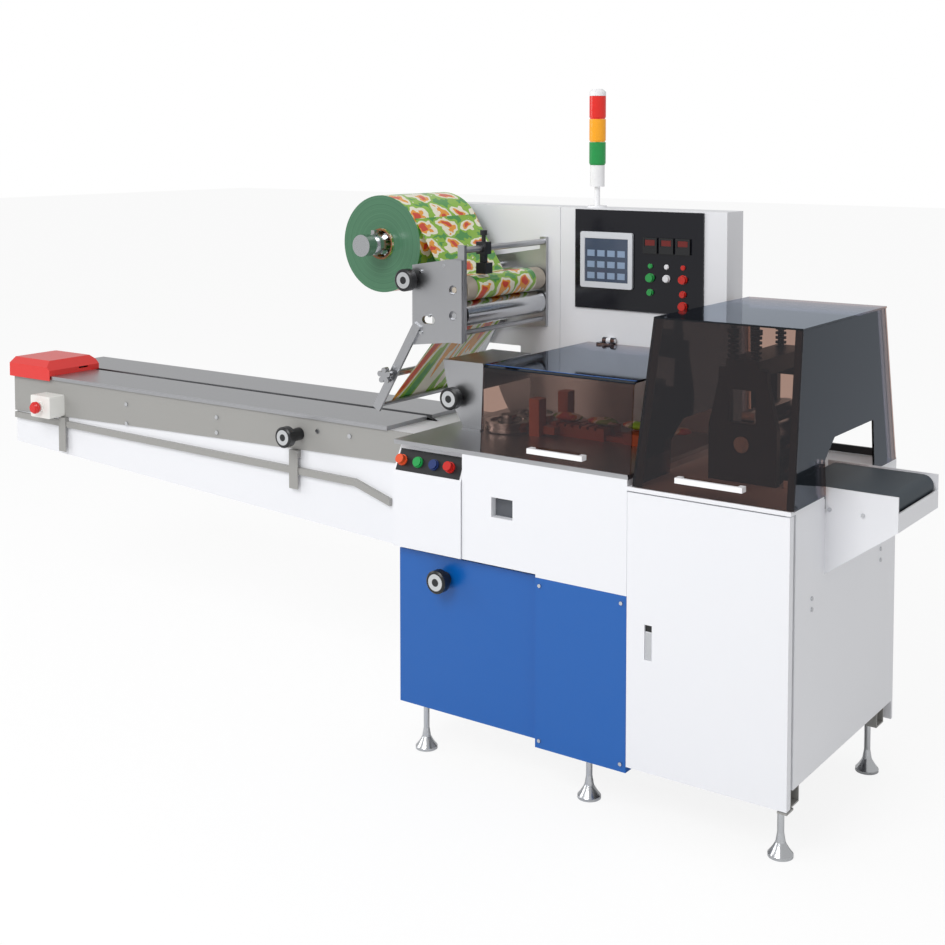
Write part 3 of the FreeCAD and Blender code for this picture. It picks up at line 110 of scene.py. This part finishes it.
# Parts moulded in several colours side by side: the colour steps along one axis of the part
def steppedPlastic(name, axis, stops, low, high, rough=0.25, glow=0.0):
    mat = blank(name)
    split = addNode(mat, "SeparateXYZ", {"Vector": objectPoint(mat)})
    share = addNode(mat, "MapRange", {"Value": split.outputs[axis], "From Min": low, "From Max": high})
    ramp = addNode(mat, "ValToRGB", {"Fac": share.outputs[0]})
    ramp.color_ramp.interpolation = "CONSTANT"
    for index, (place, colour) in enumerate(stops):
        stop = ramp.color_ramp.elements[0] if index == 0 else ramp.color_ramp.elements.new(place)
        stop.position = place
        stop.color = linear(colour)
    ramp.color_ramp.elements.remove(ramp.color_ramp.elements[-1])
    shade = addNode(mat, "BsdfPrincipled", {"Base Color": ramp.outputs[0], "Roughness": rough,
                                            "Emission Color": ramp.outputs[0], "Emission Strength": glow})
    return finishWith(mat, shade.outputs[0])


# Bakelite hand knob with a turned steel dial ring pressed into its face
def dialKnob(name, x, z):
    mat = blank(name)
    middle = machinePoint(x, 0, z)
    split = addNode(mat, "SeparateXYZ", {"Vector": objectPoint(mat)})
    flat = addNode(mat, "CombineXYZ", {0: split.outputs[0], 2: split.outputs[2]})
    far = addNode(mat, "VectorMath", {0: flat.outputs[0], 1: (middle.x, 0.0, middle.z)}, operation="DISTANCE")
    off = addNode(mat, "Math", {0: far.outputs["Value"], 1: 0.0165}, operation="SUBTRACT")
    size = addNode(mat, "Math", {0: off.outputs[0]}, operation="ABSOLUTE")
    onRing = addNode(mat, "Math", {0: size.outputs[0], 1: 0.006}, operation="LESS_THAN")
    face = addNode(mat, "SeparateXYZ", {"Vector": addNode(mat, "NewGeometry").outputs["Normal"]})
    front = addNode(mat, "Math", {0: face.outputs[1], 1: -0.5}, operation="LESS_THAN")
    both = addNode(mat, "Math", {0: onRing.outputs[0], 1: front.outputs[0]}, operation="MULTIPLY")
    colour = addNode(mat, "MixRGB", {0: both.outputs[0], 1: linear("#17181B"), 2: linear("#D4D6D8")})
    shade = addNode(mat, "BsdfPrincipled", {"Base Color": colour.outputs[0], "Metallic": both.outputs[0], "Roughness": 0.32})
    return finishWith(mat, shade.outputs[0])


# Cast acrylic sheet dyed smoke brown: tinted light passes, the face mirrors more at a glance
def smokedAcrylic(name, colour="#CDB9AF"):
    mat = blank(name)
    through = addNode(mat, "BsdfTransparent", {"Color": linear(colour)})
    # Painted reflection: the glossy layer is tinted pale blue to stand in for a blue sky mirrored in the face
    gloss = addNode(mat, "BsdfGlossy", {"Color": (0.8, 0.88, 1, 1), "Roughness": 0.04})
    skew = addNode(mat, "Fresnel", {"IOR": 1.49})
    mix = addNode(mat, "MixShader", {0: skew.outputs[0], 1: through.outputs[0], 2: gloss.outputs[0]})
    return finishWith(mat, mix.outputs[0])


# Packing film printed in flexo: pale ground, green bands and round fruit-like motifs
def printedFilm(name, roll):
    mat = blank(name)
    split = addNode(mat, "SeparateXYZ", {"Vector": objectPoint(mat)})
    centre = machinePoint(-1336, 0, 1365)
    dx = addNode(mat, "Math", {0: split.outputs[0], 1: centre.x}, operation="SUBTRACT")
    dz = addNode(mat, "Math", {0: split.outputs[2], 1: centre.z}, operation="SUBTRACT")
    if roll:
        angle = addNode(mat, "Math", {0: dz.outputs[0], 1: dx.outputs[0]}, operation="ARCTAN2")
        along = addNode(mat, "Math", {0: angle.outputs[0], 1: 0.139}, operation="MULTIPLY")
    else:
        along = addNode(mat, "Math", {0: dx.outputs[0], 1: dz.outputs[0]}, operation="SUBTRACT")
    u = addNode(mat, "Math", {0: along.outputs[0], 1: 11.0}, operation="MULTIPLY")
    v = addNode(mat, "Math", {0: split.outputs[1], 1: 10.0}, operation="MULTIPLY")
    pair = addNode(mat, "CombineXYZ", {0: u.outputs[0], 1: v.outputs[0]})
    drift = addNode(mat, "TexNoise", {"Vector": pair.outputs[0], "Scale": 1.7, "Detail": 2.0})
    wavy = addNode(mat, "VectorMath", {0: drift.outputs["Color"], 1: (1.1, 1.1, 0.0)}, operation="MULTIPLY")
    bent = addNode(mat, "VectorMath", {0: pair.outputs[0], 1: wavy.outputs[0]}, operation="ADD")
    cell = addNode(mat, "VectorMath", {0: bent.outputs[0]}, operation="FRACTION")
    far = addNode(mat, "VectorMath", {0: cell.outputs[0], 1: (0.5, 0.5, 0.0)}, operation="DISTANCE")
    ramp = addNode(mat, "ValToRGB", {"Fac": far.outputs["Value"]})
    ramp.color_ramp.interpolation = "CONSTANT"
    table = [(0.0, "#D8452A"), (0.17, "#F0A030"), (0.26, "#F4F0DC"), (0.40, "#8FBF3C"), (0.52, "#4E9A4A")]
    ramp.color_ramp.elements[0].color = linear(table[0][1])
    ramp.color_ramp.elements[1].position = table[1][0]
    ramp.color_ramp.elements[1].color = linear(table[1][1])
    for place, colour in table[2:]:
        ramp.color_ramp.elements.new(place).color = linear(colour)
    base = ramp.outputs[0]
    if roll:
        reach = addNode(mat, "VectorMath", {0: addNode(mat, "CombineXYZ", {0: dx.outputs[0], 1: dz.outputs[0]}).outputs[0]},
                        operation="LENGTH")
        rings = addNode(mat, "TexNoise", {"Vector": addNode(mat, "CombineXYZ", {0: reach.outputs["Value"]}).outputs[0],
                                          "Scale": 260.0, "Detail": 2.0})
        edge = addNode(mat, "MixRGB", {0: rings.outputs[0], 1: linear("#2F5A43"), 2: linear("#5C8A6A")})
        core = addNode(mat, "Math", {0: reach.outputs["Value"], 1: 0.0445}, operation="LESS_THAN")
        cored = addNode(mat, "MixRGB", {0: core.outputs[0], 1: edge.outputs[0], 2: linear("#8A5A38")})
        face = addNode(mat, "SeparateXYZ", {"Vector": addNode(mat, "NewGeometry").outputs["Normal"]})
        flat = addNode(mat, "Math", {0: face.outputs[1]}, operation="ABSOLUTE")
        isEnd = addNode(mat, "Math", {0: flat.outputs[0], 1: 0.5}, operation="GREATER_THAN")
        base = addNode(mat, "MixRGB", {0: isEnd.outputs[0], 1: base, 2: cored.outputs[0]}).outputs[0]
    shade = addNode(mat, "BsdfPrincipled", {"Base Color": base, "Roughness": 0.22})
    return finishWith(mat, shade.outputs[0])


white = powderCoat("whiteCoat", "#ECEDF1")
blue = powderCoat("blueCoat", "#005AAC", 0.32)
red = powderCoat("redCoat", "#E1302B", 0.28)
greyCoat = powderCoat("greyCoat", "#9C9B98", 0.5)
darkCoat = powderCoat("darkCoat", "#26272B", 0.4)
steel = brushedSteel("sheetSteel")
turned = brushedSteel("turnedSteel", "#C9CBCE", 0.2, (40, 1, 40))
oiled = brushedSteel("oiledSteel", "#3A3B3E", 0.4)
black = moulded("blackPlastic", "#17181B", 0.35)
offWhite = moulded("boxPlastic", "#ECECE8", 0.4)
glossWhite = moulded("handlePlastic", "#F6F6F8", 0.2, 0.03)
foil = moulded("panelFoil", "#0B0C16", 0.16, 0.03)
bezel = moulded("bezelPlastic", "#D5D8DE", 0.4)
stopRed = moulded("stopPlastic", "#D8211F", 0.25, 0.03)
beltRubber = moulded("beltRubber", "#3A444C", 0.6, 0.3)
sleeve = moulded("sleeveRubber", "#B9AFA0", 0.5, 0.2)
smoke = smokedAcrylic("smokedAcrylic")
rollPrint = printedFilm("rollPrint", True)
webPrint = printedFilm("webPrint", False)
consoleX = [machinePoint(-1140 + 22 + step * 53 - 26, 0, 0).x for step in range(4)]
firstX, lastX = consoleX[0], consoleX[0] + 0.212
buttonMix = steppedPlastic("consoleButtons", 0, [(0.0, "#E0562E"), (0.25, "#1F9A4C"), (0.5, "#22366E"), (0.75, "#C4241F")],
                           firstX, lastX)
panelLow, panelHigh = machinePoint(-690, 0, 0).x, machinePoint(-530, 0, 0).x
panelMix = steppedPlastic("panelButtons", 0, [(0.0, "#2E9C4E"), (0.36, "#E6E6EA"), (0.66, "#C6281F")], panelLow, panelHigh)
lensLow = 1.5892
lensMix = steppedPlastic("towerLenses", 2, [(0.0, "#1E8E46"), (0.334, "#F0A21C"), (0.667, "#D8261E")],
                         lensLow, lensLow + 0.1995, 0.15, 0.15)

dress = {
    white: ["end_cabinet_sides", "end_cabinet_back", "end_cabinet_top", "cabinet_door", "front_service_panel",
            "operator_console", "electrical_box", "infeed_trough", "mid_housing", "discharge_frame"],
    blue: ["left_lower_panel", "right_lower_panel"], red: ["tail_cover"],
    steel: ["mid_deck", "infeed_deck", "film_former", "film_guide_arms", "film_stand_plates", "stand_rods",
            "roll_shaft"],
    greyCoat: ["infeed_side_plates", "infeed_rail", "base_rails"],
    turned: ["levelling_feet", "drive_roller", "fin_wheel_front", "fin_wheel_back", "upper_jaw", "lower_jaw", "roll_chuck"],
    oiled: ["infeed_chain"], darkCoat: ["seal_head_frame", "end_cover_frame"],
    powderCoat("heaterCoat", "#B4552E", 0.45): ["fin_heaters"],
    smoke: ["middle_cover_hood", "end_cover_hood", "end_cover_sides"],
    glossWhite: ["middle_cover_handle", "end_cover_handle", "signal_tower"],
    dialKnob("mainKnob", -984, 497): ["main_knob"], dialKnob("infeedKnob", -1615, 790): ["infeed_knob"],
    dialKnob("formerKnob", -1090, 944): ["former_knob"], dialKnob("standKnob", -1180, 1277): ["stand_knob"],
    black: ["mark_sensor", "temperature_controllers"],
    foil: ["control_panel"], bezel: ["touch_screen"], buttonMix: ["console_buttons"], panelMix: ["panel_buttons"],
    stopRed: ["stop_button"], offWhite: ["stop_box"], lensMix: ["tower_lenses"], rollPrint: ["film_roll"],
    webPrint: ["film_web"], sleeve: ["guide_roller"], beltRubber: ["discharge_belt"]}
for mat, names in dress.items():
    for name in names:
        nodes[name].data.materials.clear()
        nodes[name].data.materials.append(mat)
print("stage: CAD nodes dressed")


def pieceFrom(name, shape, mat, body="machine", bevel=0.0):
    if bevel:
        bmesh.ops.bevel(shape, geom=shape.edges[:], offset=bevel, offset_type="OFFSET", segments=2, profile=0.5,
                        affect="EDGES", material=-1, clamp_overlap=True)
    bmesh.ops.recalc_face_normals(shape, faces=shape.faces)
    mesh = bpy.data.meshes.new(name)
    shape.to_mesh(mesh)
    shape.free()
    mesh.materials.append(mat)
    piece = bpy.data.objects.new(name, mesh)
    bpy.context.collection.objects.link(piece)
    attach(piece, body)
    return piece


def addBox(shape, low, high):
    a, b = machinePoint(*low), machinePoint(*high)
    bmesh.ops.create_cube(shape, size=1.0, matrix=Matrix.Translation((a + b) / 2) @ Matrix.Diagonal((*(b - a), 1)))


def addDisc(shape, centre, axis, radius, length, segments=20):
    turn = Vector((0, 0, 1)).rotation_difference(Vector(axis)).to_matrix().to_4x4()
    place = Matrix.Translation(machinePoint(*centre)) @ turn @ Matrix.Translation((0, 0, length / 2000))
    bmesh.ops.create_cone(shape, cap_ends=True, segments=segments, radius1=radius / 1000, radius2=radius * 0.94 / 1000,
                          depth=length / 1000, matrix=place)


# Button-head screws on the covers and bolts on the infeed band
screwPlan = {"side": [(0, 126, 601), (0, 126, 575), (0, 580, 612), (0, 580, 583)],
             "front": [(-672, 4, 540), (-436, 4, 540), (-672, 4, 140), (-436, 4, 140)],
             "discharge": [(11, 202, 796), (92, 202, 794)], "band": [(-2375, 150, 796), (-2375, 150, 732), (-1960, 150, 800), (-1960, 150, 752), (-1543, 150, 806),
                      (-1420, 150, 806), (-1210, 150, 800)],
             "stand": [(-1150, 138, 1300), (-1120, 138, 1180), (-1070, 138, 1320), (-1150, 138, 1130)]}
screws = bmesh.new()
for x, y, z in screwPlan["side"]:
    addDisc(screws, (x, y, z), (1, 0, 0), 5.5, 3)
for group in ("front", "band", "stand", "discharge"):
    for x, y, z in screwPlan[group]:
        addDisc(screws, (x, y, z), (0, -1, 0), 7 if group == "band" else 5, 4)
pieceFrom("coverScrews", screws, turned)

# Touch screen display with soft blocks of its bare home page
display = bmesh.new()
addBox(display, (-870, 547.5, 1257), (-730, 547.9, 1381))
pieceFrom("screenDisplay", display, moulded("screenGlass", "#4A5568", 0.1, 0.0))
blocks = bmesh.new()
for row in range(3):
    for column in range(4):
        addBox(blocks, (-862 + column * 33, 547.1, 1266 + row * 32), (-838 + column * 33, 547.5, 1284 + row * 32))
pieceFrom("screenBlocks", blocks, moulded("screenBlock", "#8FA3BE", 0.2, 0.0))

# Painted shade: a grey sheet in the cup pull's recess stands in for the shade inside it; the door lock's dark well and
# its steel lever
cupPullShadeSheet = bmesh.new()
addBox(cupPullShadeSheet, (-820, 23.5, 694), (-756, 24.5, 744))
# painted shade: this grey sheet is the shade inside the cup pull, not a part of its own
pieceFrom("cupPullPaintedShade", cupPullShadeSheet, moulded("paintedWellShade", "#55585E", 0.5))
lever = bmesh.new()
addBox(lever, (-367.5, 1.1, 418), (-352.5, 1.45, 482))
pieceFrom("doorLockLever", lever, turned, "cabinet_door_leaf")
lockWell = bmesh.new()
addBox(lockWell, (-369.5, 4.4, 484), (-350.5, 4.9, 500.5))
pieceFrom("doorLockWell", lockWell, black, "cabinet_door_leaf")

# Blue bead along the bend of the middle cover
bead = bmesh.new()
addBox(bead, (-857, 32, 1082), (-415, 38, 1082.6))
pieceFrom("coverBead", bead, blue, "middle_cover")

# Digits field on each temperature controller
fields = bmesh.new()
for step in range(3):
    x = -660 + step * 51
    addBox(fields, (x - 15, 548, 1368), (x + 15, 548.4, 1384))
pieceFrom("controllerFields", fields, moulded("controllerField", "#6E1F1C", 0.15, 0.0))

# Black plate let into the sloping face of the console
plate = bmesh.new()
corners = [(-1134, 2.3, 775), (-922, 2.3, 775), (-922, 29.3, 829), (-1134, 29.3, 829)]
lift = Vector((0, -0.4, 0.2)) / 1000
plateVerts = [plate.verts.new(machinePoint(*c) + lift) for c in corners]
plate.faces.new(plateVerts)
pieceFrom("consolePlate", plate, black)

# Filled packs on the sealing bed: pillows of printed film
packPlan = {"length": 92, "width": 52, "height": 22, "xs": (-800, -690, -580, -470)}
packPrint = printedFilm("packPrint", False)
packs = bmesh.new()
for x in packPlan["xs"]:
    centre = machinePoint(x, 345, 903)
    bmesh.ops.create_uvsphere(packs, u_segments=24, v_segments=12, radius=0.5, matrix=Matrix.Translation(centre) @
                                     Matrix.Diagonal((packPlan["length"] / 1000, packPlan["width"] / 1000, packPlan["height"] / 1000, 1)))
pieceFrom("sealedPacks", packs, packPrint)
print("stage: pieces added")

# Camera, pale floor and soft light
camera = bpy.data.objects.new("camera", bpy.data.cameras.new("camera"))
camera.location = machinePoint(1285.3, -3035.8, 1676.5)
camera.rotation_euler = (math.pi / 2 - 0.057, 0, 0.619)
camera.data.sensor_width = 36
camera.data.lens = 55.37
camera.data.shift_y = -0.2695
bpy.context.collection.objects.link(camera)
bpy.context.scene.camera = camera

floorMat = blank("paleFloor")
lamp = addNode(floorMat, "Emission", {"Color": (1, 1, 1, 1), "Strength": 1.02})
matt = addNode(floorMat, "BsdfDiffuse", {"Color": (0.9, 0.9, 0.9, 1)})
path = addNode(floorMat, "LightPath")
part = addNode(floorMat, "Math", {0: path.outputs["Is Camera Ray"], 1: 0.85}, operation="MULTIPLY")
blend = addNode(floorMat, "MixShader", {0: part.outputs[0], 1: matt.outputs[0], 2: lamp.outputs[0]})
finishWith(floorMat, blend.outputs[0])
ground = bmesh.new()
bmesh.ops.create_grid(ground, x_segments=1, y_segments=1, size=30)
groundMesh = bpy.data.meshes.new("floor")
ground.to_mesh(groundMesh)
ground.free()
groundMesh.materials.append(floorMat)
floor = bpy.data.objects.new("floor", groundMesh)
bpy.context.collection.objects.link(floor)

world = bpy.data.worlds.new("world")
world.use_nodes = True
world.node_tree.nodes["Background"].inputs[0].default_value = (1, 1, 1, 1)
skyPath = addNode(world, "LightPath")
skyShare = addNode(world, "MapRange", {"Value": skyPath.outputs["Is Camera Ray"], "To Min": 0.62, "To Max": 1.0})
world.node_tree.links.new(skyShare.outputs[0], world.node_tree.nodes["Background"].inputs[1])
bpy.context.scene.world = world
for name, place, power, size in (("key", (0.5, -4.5, 4.2), 130, 2.5), ("left", (-5.5, -3.0, 3.0), 70, 2.5)):
    light = bpy.data.objects.new(name, bpy.data.lights.new(name, "AREA"))
    light.data.energy = power
    light.data.size = size
    light.location = place
    light.rotation_euler = (Vector((0.3, 0, 0.9)) - Vector(place)).to_track_quat("-Z", "Y").to_euler()
    bpy.context.collection.objects.link(light)
bpy.context.scene.view_settings.view_transform = "Standard"
print("stage: camera and light set")
